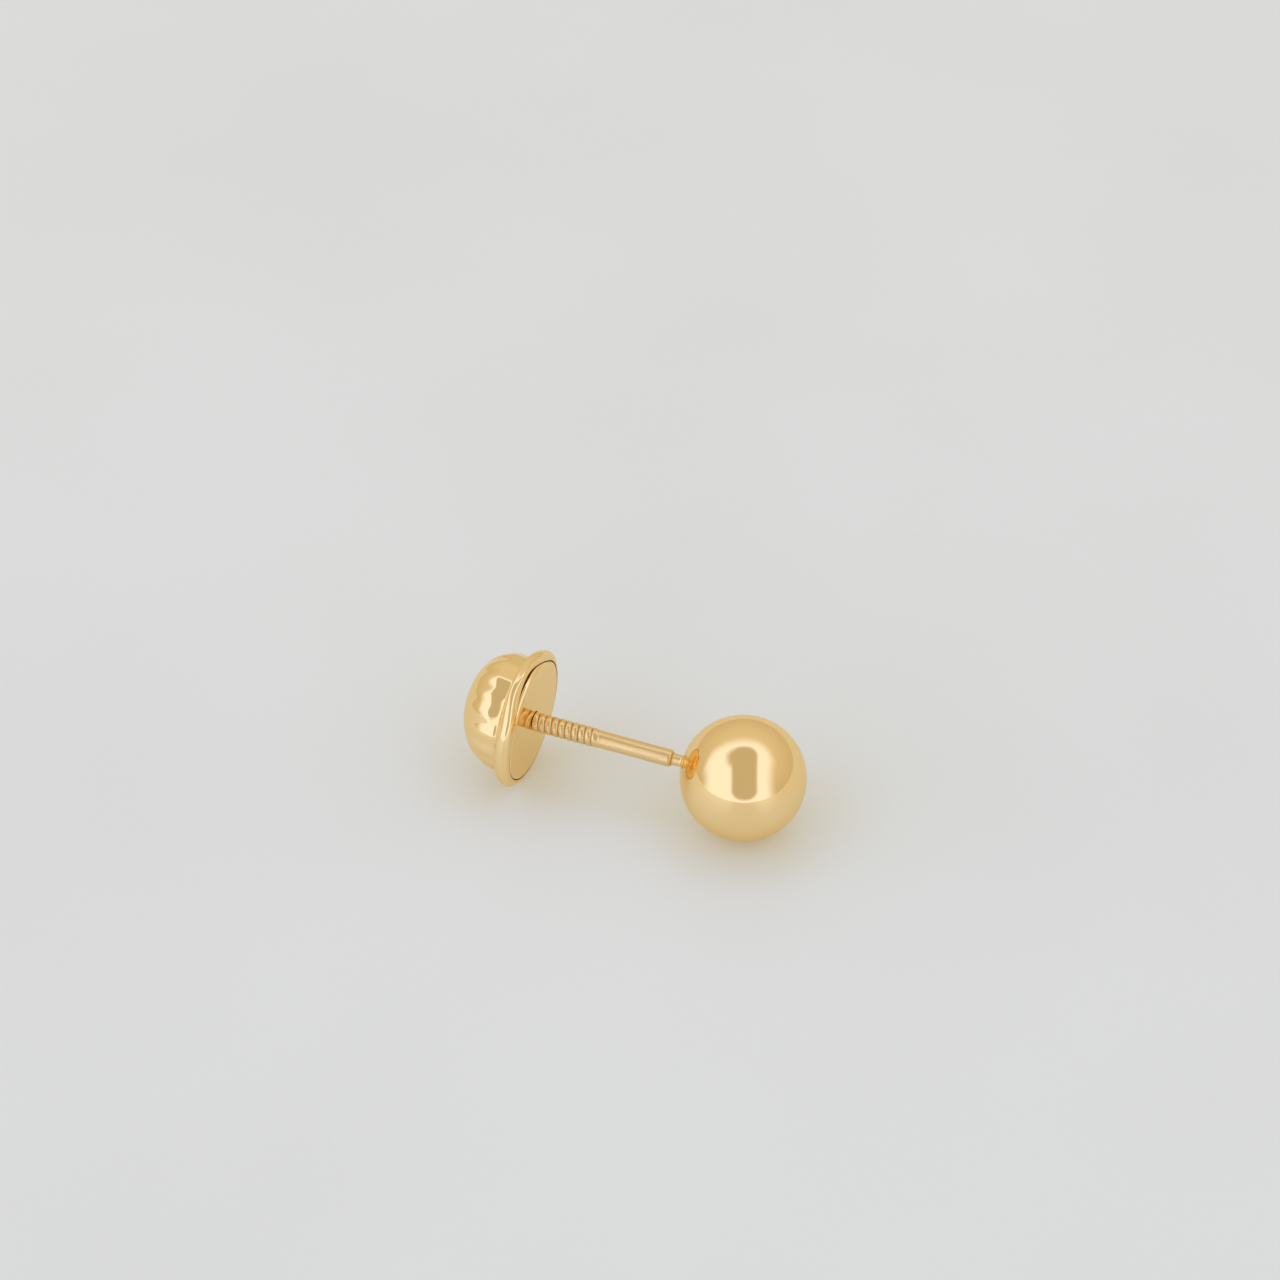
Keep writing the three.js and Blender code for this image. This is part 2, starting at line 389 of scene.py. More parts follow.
@dataclass
class ScrewBack:
    """The screw back: dome with soft flats, rolled rim, and the plate that closes it.

    Angles are in degrees about the post, from +Y towards +Z.

    Attributes:
        radius_swing: how much wider the dome is on its fullest side, and narrower opposite.
        fullness_swing: the same for its fullness, which is 2 for an ellipse and more for a box.
        row_crowding: the power that crowds the dome's rows towards its pole.
        flat_slope: how much the flats spread for each millimetre away from the rim.
        flat_levelling: the length near the dome's base over which that slope sets in.
        flats_full: the share of the dome's depth at which the flats are cut in full.
        ribs_rise: the shares of its depth between which the ribs rise.
        unevenness_waves: how often the flats' distance goes up and down in a turn.
        unevenness_start: the phase of that, in radians.
        cove_step: how far the cove's foot stands out from the flats.
        lip_setback: how far the lip's inner edge lies behind the plate's face.
        dip_depth: how much further back it lies on its upper side.
        dip_full: the share of the dip's half width with the whole depth.
        gape: how far the lip stands off the plate's edge at the middle of the dip.
        plate_round: how far the plate's edge is rounded by the dip, and below away from it.
        round_change: the shares of the dip's half width between which that changes.
        step_rows: rows of the rebate's wall that the plate's edge faces.
        lip_shade: how much painted shade the lip's inner edge takes, from 0 to 1.
        rim_shade: the same for the plate's edge, from shade_edge of its rounding inwards.
        hole_shade: the same for the plate's hole, over hole_shade_width.
    """

    dome_radius: float = 2.4
    radius_swing: float = 0.05
    dome_depth: float = 1.95
    dome_fullness: float = 2.26
    fullness_swing: float = 0.24
    fullest_side: float = 60.0
    row_crowding: float = 1.15
    wall: float = 0.2
    flats: int = 18
    flat_middle: float = 11.6
    flat_distance: float = 2.322
    flat_slope: float = 0.13
    flat_levelling: float = 0.22
    flats_full: float = 0.4
    flat_softness: float = 0.012
    corner_softness: float = 0.03
    rib_depth: float = 0.05
    ribs_rise: tuple[float, float] = (0.02, 0.45)
    unevenness: float = 0.014
    unevenness_waves: float = 7.0
    unevenness_start: float = 0.7
    ovalness: float = 0.035
    narrowest_side: float = 110.0
    rim_radius: float = 2.83
    opening_radius: float = 2.48
    bead_length: float = 0.36
    cove_round: float = 0.18
    cove_step: float = 0.03
    lip_round: float = 0.26
    lip_setback: float = 0.02
    dip_depth: float = 0.22
    dip_centre: float = 98.0
    dip_half_width: float = 50.0
    dip_full: float = 0.2
    gape: float = 0.14
    gape_width: float = 13.0
    plate_thickness: float = 0.32
    plate_round: float = 0.2
    plate_round_below: float = 0.07
    round_change: tuple[float, float] = (0.5, 1.3)
    seam: float = 0.014
    step_rows: int = 6
    lip_shade: float = 0.4
    rim_shade: float = 0.8
    shade_edge: float = 0.85
    hole_radius: float = 0.395
    hole_lead: float = 0.012
    hole_shade: float = 0.3
    hole_shade_width: float = 0.06
    cap_sides: int = 288
    dome_rows: int = 60
    lining_rows: int = 24
    plate_sides: int = 160

    @property
    def crest(self) -> float:
        """Where the rim is widest."""
        return -self.lip_setback - self.lip_round

    @property
    def bead_root(self) -> float:
        """Where the rolled rim stands up from the dome's side."""
        return self.crest - self.bead_length

    @property
    def dome_base(self) -> float:
        """Where the dome ends and the cove under the rolled rim begins."""
        return self.bead_root - self.cove_round

    @property
    def cove_radius(self) -> float:
        """The radius at the foot of the cove."""
        return self.flat_distance + self.cove_step

    def dome(
        self, depth: float, radius: float | Array, rows: int, fullness: Array
    ) -> tuple[Array, Array]:
        """Half a dome from pole to base, as a superellipse.

        A point is (base - depth cos(t)^p, radius sin(t)^p), with p = 2 / fullness, and t is a
        quarter turn times the row's share to the power of the crowding.

        Args:
            depth: the dome's depth.
            radius: the radius at its base, for all columns or for each.
            rows: the number of points.
            fullness: how square its shoulder is, for each column.

        Returns:
            Places along the post and radii, rows by columns.
        """
        t = 0.5 * math.pi * (np.arange(rows) / (rows - 1))[:, None] ** self.row_crowding
        power = 2.0 / fullness[None, :]
        deep = np.clip(np.cos(t), 0.0, 1.0) ** power
        return self.dome_base - depth * deep, radius * np.sin(t) ** power

    def flat_radius(self, along: Array, angle: Array) -> Array:
        """The radius of the flats, which lean inwards a little towards the rim.

        A flat's radius is its distance from the axis over cos(away), with away the angle from
        its middle, softened near the corners: half - sqrt((half - |away|)^2 + softness^2). The
        section is a little oval and uneven, by a cosine and a sine of the angle.

        Args:
            along: places along the post.
            angle: angles about the post.

        Returns:
            Radii of the flats' planes.
        """
        step = TURN / self.flats
        turns = (angle - math.radians(self.flat_middle)) / step
        away = np.abs(turns - np.round(turns)) * step
        half = 0.5 * step
        soft = np.sqrt((half - away) ** 2 + self.corner_softness**2)
        away = np.clip(half + 0.5 * self.corner_softness - soft, 0.0, half)
        reach = self.dome_base - along
        oval = self.ovalness * np.cos(2.0 * (angle - math.radians(self.narrowest_side)))
        waves = np.sin(self.unevenness_waves * angle + self.unevenness_start)
        uneven = self.unevenness * waves - oval
        levelled = reach**2 / (np.abs(reach) + self.flat_levelling)
        distance = self.flat_distance + self.flat_slope * levelled + uneven
        return distance / np.cos(away)

    def flattened(self, along: Array, radius: Array, angle: Array) -> Array:
        """Cuts ribs and flats into a turned surface, with soft edges, as far as the rim's bead.

        The ribs are a cosine with one wave for each flat. The flats' cut is the soft part of
        d = radius - flat that lies above 0: (d + sqrt(d^2 + softness^2)) / 2.

        Args:
            along: places along the post.
            radius: radii before the cut.
            angle: angles about the post.

        Returns:
            Radii after the cut.
        """
        turns = (angle - math.radians(self.flat_middle)) * self.flats / TURN
        pole = self.dome_base - self.dome_depth
        before_rim = 1.0 - smoothstep(self.dome_base, self.bead_root, along)
        rise, risen = (pole + share * self.dome_depth for share in self.ribs_rise)
        ribbed = smoothstep(rise, risen, along) * before_rim
        radius = radius - self.rib_depth * ribbed * (0.5 + 0.5 * np.cos(TURN * turns))
        over = radius - self.flat_radius(along, angle)
        cut = 0.5 * (over + np.sqrt(over**2 + self.flat_softness**2))
        held = smoothstep(pole, pole + self.flats_full * self.dome_depth, along) * before_rim
        return radius - held * cut

    def lip_dip(self, angle: Array) -> Array:
        """How far the lip lies back behind the plate's face, on its upper side.

        Args:
            angle: angles about the post.

        Returns:
            The depth, in millimetres, falling smoothly to 0 at both ends of the dip.
        """
        away = np.abs(np.degrees(angle) - self.dip_centre)
        full = self.dip_full * self.dip_half_width
        return self.dip_depth * (1.0 - smoothstep(full, self.dip_half_width, away))

    def rim_profile(self) -> Array:
        """The cove and the rolled rim's bead, from the dome's base to the lip's inner edge.

        Returns:
            Rows of (along, radius).
        """
        foot = self.cove_radius + self.cove_round
        lip_height = self.rim_radius - self.opening_radius
        return np.concatenate([
            arc((self.dome_base, foot), (self.cove_round, self.cove_round), (180, 90), 10)[1:],
            arc((self.crest, foot), (self.bead_length, self.rim_radius - foot), (-90, 0), 26),
            arc((self.crest, self.opening_radius), (self.lip_round, lip_height), (0, 90), 20),
        ])

    def rebate_profile(self, inner: float) -> Array:
        """The rebate that the plate sits in, from the lip's inner edge to the cap's lining.

        Args:
            inner: the lining's radius.

        Returns:
            Rows of (along, radius).
        """
        ledge = -self.plate_thickness - self.seam
        lip, corner = (-self.lip_setback, self.opening_radius), (ledge, self.opening_radius)
        return np.concatenate([
            straight(lip, corner, self.step_rows),
            straight(corner, (ledge, inner), 3),
        ])

    def cap(self, post: PostFrame) -> bpy.types.Object:
        """Makes the pressed cap with its dome and flats, rolled rim, lip and inner wall.

        Args:
            post: the frame of the post.

        Returns:
            The piece.
        """
        skin = TurnedSkin.over(np.zeros((1, 2)), self.cap_sides)
        angle = skin.angle[None, :]
        side = np.cos(skin.angle - math.radians(self.fullest_side))
        fullness = self.dome_fullness + self.fullness_swing * side
        wide = self.dome_radius + self.radius_swing * side[None, :]
        dome_along, dome_radius = self.dome(self.dome_depth, wide, self.dome_rows, fullness)
        inner = self.flat_distance - self.wall - self.rib_depth
        rim, rebate = self.rim_profile(), self.rebate_profile(inner)
        turned = TurnedSkin.over(np.concatenate([rim, rebate]), self.cap_sides)
        lining = self.dome(self.dome_depth - self.wall, inner, self.lining_rows, fullness)
        inside_along, inside_radius = lining[0][::-1], lining[1][::-1]
        outside_radius = self.flattened(dome_along, dome_radius, angle)
        turned.radius = self.flattened(turned.along, turned.radius, angle)
        skin.along = np.concatenate([dome_along, turned.along, inside_along])
        skin.radius = np.concatenate([outside_radius, turned.radius, inside_radius])
        rim_start = len(dome_along)
        rim_end = rim_start + len(rim)
        reach = rim_end + len(rebate)
        bent = np.zeros_like(skin.along)
        bent[:reach] = smoothstep(self.dome_base, self.crest, skin.along[:reach])
        skin.along = skin.along - self.lip_dip(angle) * bent
        away = (np.degrees(skin.angle) - self.dip_centre) / self.gape_width
        lip = smoothstep(self.crest, -self.lip_setback, turned.along)
        opened = lip * np.exp(-(away**2))[None, :]
        opened[len(rim) + self.step_rows:] = 0.0
        skin.radius[rim_start:reach] += self.gape * opened
        # The rebate and the lining take full painted shade, and the lip's inner edge some.
        skin.recess = np.zeros_like(skin.along)
        skin.recess[rim_end:] = 1.0
        skin.recess[rim_end - 1] = self.lip_shade
        return skin.to_object("cap", post)

    def plate_profile(self, rounded: float) -> Array:
        """The plate's profile, round from its inner face over its edge to its hole.

        Args:
            rounded: the radius that its outer edge is rounded to.

        Returns:
            Rows of (along, radius), as many for every radius.
        """
        edge = self.opening_radius - self.seam
        back = -self.plate_thickness
        lead = self.hole_lead
        return np.concatenate([
            straight((back, self.hole_radius), (back, edge), 6),
            straight((back, edge), (-rounded, edge), 4),
            arc((-rounded, edge - rounded), (rounded, rounded), (0, 90), 14),
            straight((0.0, edge - rounded), (0.0, self.hole_radius + lead), 24),
            arc((-lead, self.hole_radius + lead), (lead, -lead), (90, 0), 4),
            straight((-lead, self.hole_radius), (back, self.hole_radius), 4),
            np.array([[back, self.hole_radius]]),
        ])

    def plate(self, post: PostFrame) -> bpy.types.Object:
        """Makes the plate, whose edge is rounded more where the lip lies back.

        Args:
            post: the frame of the post.

        Returns:
            The piece.
        """
        skin = TurnedSkin.over(self.plate_profile(self.plate_round), self.plate_sides)
        sharper = TurnedSkin.over(self.plate_profile(self.plate_round_below), self.plate_sides)
        away = np.abs(np.degrees(skin.angle) - self.dip_centre)
        near, far = (share * self.dip_half_width for share in self.round_change)
        above = 1.0 - smoothstep(near, far, away)[None, :]
        skin.along = above * skin.along + (1.0 - above) * sharper.along
        skin.radius = above * skin.radius + (1.0 - above) * sharper.radius
        # The plate's edge and its hole take painted shade.
        edge = -self.shade_edge * self.plate_round
        deep = 1.0 - smoothstep(-self.plate_thickness, edge, skin.along)
        hole_end = self.hole_radius + self.hole_shade_width
        bore = 1.0 - smoothstep(self.hole_radius, hole_end, skin.radius)
        skin.recess = np.maximum(self.rim_shade * deep, self.hole_shade * bore)
        return skin.to_object("plate", post)


class NodeSketch:
    """Adds nodes to a node tree and links them, in few words."""

    def __init__(self, tree: bpy.types.NodeTree) -> None:
        """Starts on a node tree."""
        self.tree = tree

    def feed(self, socket: Socket, value: object) -> None:
        """Links a socket into an input, or sets the input's own value.

        Args:
            socket: the input.
            value: an output socket, a number, or a tuple of numbers.
        """
        if isinstance(value, bpy.types.NodeSocket):
            self.tree.links.new(value, socket)
        elif isinstance(value, tuple) and len(value) == 3 and socket.type == "RGBA":
            socket.default_value = (*value, 1.0)
        else:
            socket.default_value = value

    def add(self, kind: str, inputs: dict | None = None, **settings: object) -> bpy.types.Node:
        """Adds a node.

        Args:
            kind: the node's type.
            inputs: values or sockets for its inputs, by name or number.
            **settings: the node's own settings.

        Returns:
            The node.
        """
        node = self.tree.nodes.new(kind)
        for name, value in settings.items():
            setattr(node, name, value)
        for key, value in (inputs or {}).items():
            self.feed(node.inputs[key], value)
        return node

    def math(
        self, operation: str, first: object, second: object = 0.0, third: object = 0.0
    ) -> Socket:
        """Adds a math node on up to three values, and gives its result."""
        values = {0: first, 1: second, 2: third}
        return self.add("ShaderNodeMath", values, operation=operation).outputs[0]

    def rise(self, value: object, low: object, high: object) -> Socket:
        """Adds a smooth rise from 0 to 1.

        Args:
            value: the value to map.
            low: where the rise starts.
            high: where it ends.

        Returns:
            The result.
        """
        values = {"Value": value, "From Min": low, "From Max": high}
        node = self.add("ShaderNodeMapRange", values, interpolation_type="SMOOTHSTEP")
        return node.outputs["Result"]

    def between(self, share: object, first: object, second: object) -> Socket:
        """Mixes two colours.

        Args:
            share: how much of the second, from 0 to 1.
            first: the colour at 0.
            second: the colour at 1.

        Returns:
            The mixed colour.
        """
        node = self.add("ShaderNodeMix", {0: share}, data_type="RGBA")
        self.feed(node.inputs[6], first)
        self.feed(node.inputs[7], second)
        return node.outputs[2]

    def noise(
        self, vector: object, scale: object, detail: float = 2.0, rough: float = 0.5
    ) -> Socket:
        """Adds a noise texture, read at a vector, with values around one half."""
        values = {"Vector": vector, "Scale": scale, "Detail": detail, "Roughness": rough}
        return self.add("ShaderNodeTexNoise", values).outputs["Fac"]

    def stretched(self, vector: object, scale: tuple[float, float, float]) -> Socket:
        """Scales a vector by a factor for each part."""
        node = self.add("ShaderNodeVectorMath", {0: vector, 1: scale}, operation="MULTIPLY")
        return node.outputs[0]

    def show(self, shader: bpy.types.Node, kind: str = "ShaderNodeOutputMaterial") -> None:
        """Links a shader to a new output node."""
        self.feed(self.add(kind).inputs["Surface"], shader.outputs[0])


def new_material(name: str) -> tuple[bpy.types.Material, NodeSketch, Socket]:
    """Starts a material whose patterns keep to the piece's own space.

    Args:
        name: the material's name.

    Returns:
        The material, a sketch of its empty tree, and the place in millimetres.
    """
    material = bpy.data.materials.new(name)
    material.use_nodes = True
    material.node_tree.nodes.clear()
    sketch = NodeSketch(material.node_tree)
    place = sketch.add("ShaderNodeTexCoord").outputs["Object"]
    return material, sketch, sketch.stretched(place, (1.0 / MM,) * 3)


def new_group(
    name: str, inputs: dict[str, tuple[str, object]], outputs: list[str]
) -> tuple[bpy.types.NodeTree, NodeSketch, bpy.types.Node, bpy.types.Node]:
    """Starts a shader node group.

    Args:
        name: the group's name.
        inputs: socket type and starting value, by name.
        outputs: names of its value outputs.

    Returns:
        The group, a sketch of it, its input node and its output node.
    """
    group = bpy.data.node_groups.new(name, "ShaderNodeTree")
    for label, (kind, start) in inputs.items():
        socket = group.interface.new_socket(label, in_out="INPUT", socket_type=kind)
        if start is not None:
            socket.default_value = start
    for label in outputs:
        group.interface.new_socket(label, in_out="OUTPUT", socket_type="NodeSocketFloat")
    sketch = NodeSketch(group)
    return group, sketch, sketch.add("NodeGroupInput"), sketch.add("NodeGroupOutput")


def handling_marks_group() -> bpy.types.NodeTree:
    """Fine hairlines that handling leaves on polished metal, in two directions.

    Each direction is noise drawn out along its lines, of which only the peaks count.

    Returns:
        A group with a vector in millimetres, the lines' density and a turn, and a height of
        0 to 1.
    """
    directions = (((0.3, 0.8, 0.5), 1.0), ((0.9, -0.2, 0.4), -1.7))
    drawn_out = (0.07, 1.0, 1.0)
    peaks = (0.58, 0.72)
    inputs = {
        "Millimetres": ("NodeSocketVector", None),
        "Lines per mm": ("NodeSocketFloat", 9.0),
        "Seed turn": ("NodeSocketFloat", 0.6),
    }
    group, sketch, start, end = new_group("handling_marks", inputs, ["Height"])
    heights = []
    for axis, share in directions:
        angle = sketch.math("MULTIPLY", start.outputs["Seed turn"], share)
        values = {"Vector": start.outputs["Millimetres"], "Axis": axis, "Angle": angle}
        turned = sketch.add("ShaderNodeVectorRotate", values)
        thin = sketch.stretched(turned.outputs[0], drawn_out)
        lines = sketch.noise(thin, start.outputs["Lines per mm"], 3.0, 0.6)
        heights.append(sketch.rise(lines, *peaks))
    sketch.feed(end.inputs["Height"], sketch.math("MAXIMUM", *heights))
    return group


def soft_unevenness_group() -> bpy.types.NodeTree:
    """The gentle waviness of thin polished metal.

    Returns:
        A group with a vector in millimetres and the waves' density, and a height of 0 to 1.
    """
    inputs = {
        "Millimetres": ("NodeSocketVector", None),
        "Waves per mm": ("NodeSocketFloat", 0.6),
    }
    group, sketch, start, end = new_group("soft_unevenness", inputs, ["Height"])
    broad = sketch.noise(start.outputs["Millimetres"], start.outputs["Waves per mm"], 1.0, 0.4)
    sketch.feed(end.inputs["Height"], broad)
    return group


def painted_crevice_shade_group() -> bpy.types.NodeTree:
    """Painted dark brown shade in crevices, broken up a little, from the piece's recess
    attribute.

    The mask rises with recess * (0.55 + 0.9 * noise).

    Returns:
        A group with a vector in millimetres, and a mask of 0 to 1.
    """
    patches_per_mm, uneven, least = 7.0, 0.9, 0.55
    shown = (0.12, 0.95)
    group, sketch, start, end = new_group(
        "painted_crevice_shade", {"Millimetres": ("NodeSocketVector", None)}, ["Mask"]
    )
    recess = sketch.add("ShaderNodeAttribute", attribute_name="recess").outputs["Fac"]
    patches = sketch.noise(start.outputs["Millimetres"], patches_per_mm, 3.0, 0.6)
    broken = sketch.math("MULTIPLY", recess, sketch.math("MULTIPLY_ADD", patches, uneven, least))
    sketch.feed(end.inputs["Mask"], sketch.rise(broken, *shown))
    return group


def draw_lines_group() -> bpy.types.NodeTree:
    """Fine lines along the post, from drawing its wire.

    Returns:
        A group with a vector in millimetres, and a height of 0 to 1.
    """
    drawn_out = (0.03, 1.0, 1.0)
    lines_per_mm = 13.0
    group, sketch, start, end = new_group(
        "draw_lines", {"Millimetres": ("NodeSocketVector", None)}, ["Height"]
    )
    drawn = sketch.stretched(start.outputs["Millimetres"], drawn_out)
    sketch.feed(end.inputs["Height"], sketch.noise(drawn, lines_per_mm, 2.0, 0.6))
    return group


@dataclass(frozen=True)
class GoldFinish:
    """A finish of yellow gold.

    Attributes:
        name: the material's name.
        color: the metal's own colour, linear.
        edge: the colour of its reflections at glancing angles.
        crevice_shade: the colour of the painted shade in crevices.
        roughness: how soft its reflections are.
        mark_roughness: what handling marks add to that.
        line_roughness: what draw lines add to it.
        crevice_shade_roughness: what the painted shade in crevices adds to it.
        waves_per_mm: how broad its unevenness is.
        wave_height: the height of the unevenness, in millimetres.
        mark_height: the height of the handling marks, in millimetres.
        line_height: the height of draw lines, in millimetres, or 0 for none.
    """

    name: str
    color: Color = (1.0, 0.725, 0.35)
    edge: Color = (1.0, 0.93, 0.75)
    crevice_shade: Color = (0.2, 0.075, 0.02)
    roughness: float = 0.05
    mark_roughness: float = 0.06
    line_roughness: float = 0.08
    crevice_shade_roughness: float = 0.35
    waves_per_mm: float = 0.7
    wave_height: float = 0.004
    mark_height: float = 0.00025
    line_height: float = 0.0

    def build(self, groups: dict[str, bpy.types.NodeTree]) -> bpy.types.Material:
        """Makes the material.

        Args:
            groups: the shared node groups, by name.

        Returns:
            The material.
        """
        material, sketch, mm = new_material(self.name)

        def shared(name: str, output: str, **values: object) -> Socket:
            """Places a shared group, with values by input name, and gives its output."""
            node = sketch.add("ShaderNodeGroup", node_tree=groups[name])
            sketch.feed(node.inputs["Millimetres"], mm)
            for label, value in values.items():
                sketch.feed(node.inputs[label.replace("_", " ")], value)
            return node.outputs[output]

        # The mask of the painted dark brown shade in crevices.
        crevice_shade = shared("painted_crevice_shade", "Mask")
        marks = shared("handling_marks", "Height")
        waves = shared("soft_unevenness", "Height", Waves_per_mm=self.waves_per_mm)
        height = sketch.math("MULTIPLY", waves, self.wave_height)
        height = sketch.math("MULTIPLY_ADD", marks, -self.mark_height, height)
        rough = sketch.math("MULTIPLY_ADD", marks, self.mark_roughness, self.roughness)
        if self.line_height > 0.0:
            lines = shared("draw_lines", "Height")
            height = sketch.math("MULTIPLY_ADD", lines, self.line_height, height)
            rough = sketch.math("MULTIPLY_ADD", lines, self.line_roughness, rough)
        rough = sketch.math("MULTIPLY_ADD", crevice_shade, self.crevice_shade_roughness, rough)
        bump = sketch.add("ShaderNodeBump", {"Strength": 1.0, "Distance": MM, "Height": height})
        shader = sketch.add("ShaderNodeBsdfPrincipled")
        # The base colour turns to the painted crevice shade where the mask is.
        sketch.feed(shader.inputs["Base Color"], sketch.between(crevice_shade, self.color, self.crevice_shade))
        sketch.feed(shader.inputs["Roughness"], rough)
        sketch.feed(shader.inputs["Metallic"], 1.0)
        sketch.feed(shader.inputs["Specular Tint"], self.edge)
        sketch.feed(shader.inputs["Normal"], bump.outputs[0])
        sketch.show(shader)
        return material


@dataclass(frozen=True)
class SurfaceFinish:
    """The pale surface that the earring lies on.

    Attributes:
        light: its lighter colour, linear.
        dark: its darker colour.
        glow: the faint light of its own, which keeps shadows on it light and warm.
        grain_share: how much of the grain is added to the clouds.
        tones: the values between which its darker colour turns into the lighter.
    """

    name: str = "pale_surface"
    light: Color = (0.625, 0.71, 0.82)
    dark: Color = (0.59, 0.675, 0.78)
    # glow: a faint painted glow of its own, which keeps shadows on it light and warm.
    glow: Color = (0.2, 0.14, 0.03)
    roughness: float = 0.35
    clouds_per_mm: float = 0.035
    grain_per_mm: float = 2.5
    grain_share: float = 0.12
    tones: tuple[float, float] = (0.3, 0.8)

    def build(self) -> bpy.types.Material:
        """Makes the material: very soft broad clouds, a faint fine grain, and a painted warm
        glow.

        Returns:
            The material.
        """
        material, sketch, mm = new_material(self.name)
        clouds = sketch.noise(mm, self.clouds_per_mm, 3.0, 0.5)
        grain = sketch.noise(mm, self.grain_per_mm, 2.0, 0.5)
        shader = sketch.add("ShaderNodeBsdfPrincipled", {"Roughness": self.roughness})
        # A painted warm glow, which lifts the shadows on the surface.
        sketch.feed(shader.inputs["Emission Color"], self.glow)
        sketch.feed(shader.inputs["Emission Strength"], 1.0)
        mixed = sketch.math("MULTIPLY_ADD", grain, self.grain_share, clouds)
        tone = sketch.rise(mixed, *self.tones)
        sketch.feed(shader.inputs["Base Color"], sketch.between(tone, self.dark, self.light))
        sketch.show(shader)
        return material


@dataclass(frozen=True)
class View:
    """The camera, and the directions that the studio light is set out from.

    Attributes:
        azimuth: how far round it stands, in degrees, from -Y towards +X.
        pitch: how far it looks down, in degrees.
        lens: its focal length, in millimetres.
        sensor: the width of its sensor, in millimetres.
        ball_right: how far right of its axis the ball's centre lies, in millimetres.
        ball_below: how far below its axis the ball's centre lies, in millimetres.
        ball_ahead: how far ahead the ball's centre lies, in millimetres.
    """

    azimuth: float = 19.5
    pitch: float = 42.0
    lens: float = 82.43
    sensor: float = 36.0
    ball_right: float = 4.046
    ball_below: float = 5.413
    ball_ahead: float = 114.8

    def axes(self) -> tuple[Vector, Vector, Vector]:
        """The camera's directions.

        Returns:
            Its right, its up and the way it looks.
        """
        a, e = math.radians(self.azimuth), math.radians(self.pitch)
        right = Vector((math.cos(a), math.sin(a), 0.0))
        ahead = Vector((-math.sin(a) * math.cos(e), math.cos(a) * math.cos(e), -math.sin(e)))
        return right, right.cross(ahead), ahead

    def build(self, ball_centre: Vector) -> bpy.types.Object:
        """Makes the camera.

        Args:
            ball_centre: the ball's centre, in metres.

        Returns:
            The camera, which is the scene's own.
        """
        right, up, ahead = self.axes()
        data = bpy.data.cameras.new("camera")
        data.lens = self.lens
        data.sensor_width = self.sensor
        data.clip_start = MM
        data.dof.use_dof = False
        camera = bpy.data.objects.new("camera", data)
        offset = -self.ball_right * right + self.ball_below * up - self.ball_ahead * ahead
        turn = Matrix((right, up, -ahead)).transposed().to_4x4()
        camera.matrix_world = Matrix.Translation(ball_centre + MM * offset) @ turn
        bpy.context.scene.collection.objects.link(camera)
        bpy.context.scene.camera = camera
        return camera


@dataclass(frozen=True)
class SoftPanel:
    """A rounded rectangle of the studio's surroundings, in degrees seen from the earring.

    Attributes:
        across: the middle and the half width, to the right of the camera.
        height: the middle and the half height, above the horizon in front.
        corner: the radius of its corners.
        blur: how far its edge fades.
    """

    across: tuple[float, float]
    height: tuple[float, float]
    corner: float
    blur: float


